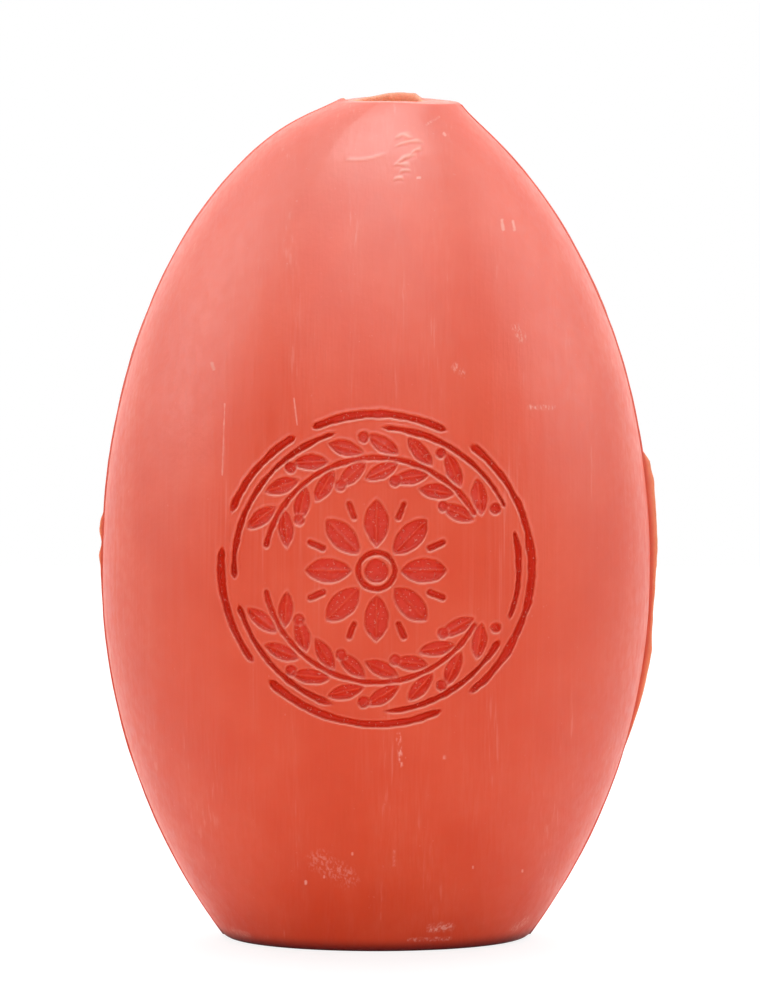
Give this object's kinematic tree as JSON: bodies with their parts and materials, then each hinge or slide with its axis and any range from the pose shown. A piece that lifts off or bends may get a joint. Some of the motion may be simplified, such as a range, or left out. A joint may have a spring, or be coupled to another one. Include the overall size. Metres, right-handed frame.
{
  "type": "rotary soap bar",
  "caption": "Egg-shaped bar of hard pressed soap with a bore through its length for a wall holder's rod, a flat at each end and a round stamped ornament.",
  "frame": {"origin": "on the bore's axis in the plane of the base flat, the centre of the foot that the bar stands on", "axes": "+Z along the bore to the small tip, -Y out of the stamped side, X across the bar in the plane of its flash line"},
  "size_m": [0.07, 0.0688, 0.105],
  "materials": {
    "soap": "satin"
  },
  "bodies": {
    "root": {"soap_bar": "soap"}
  },
  "joints": []
}
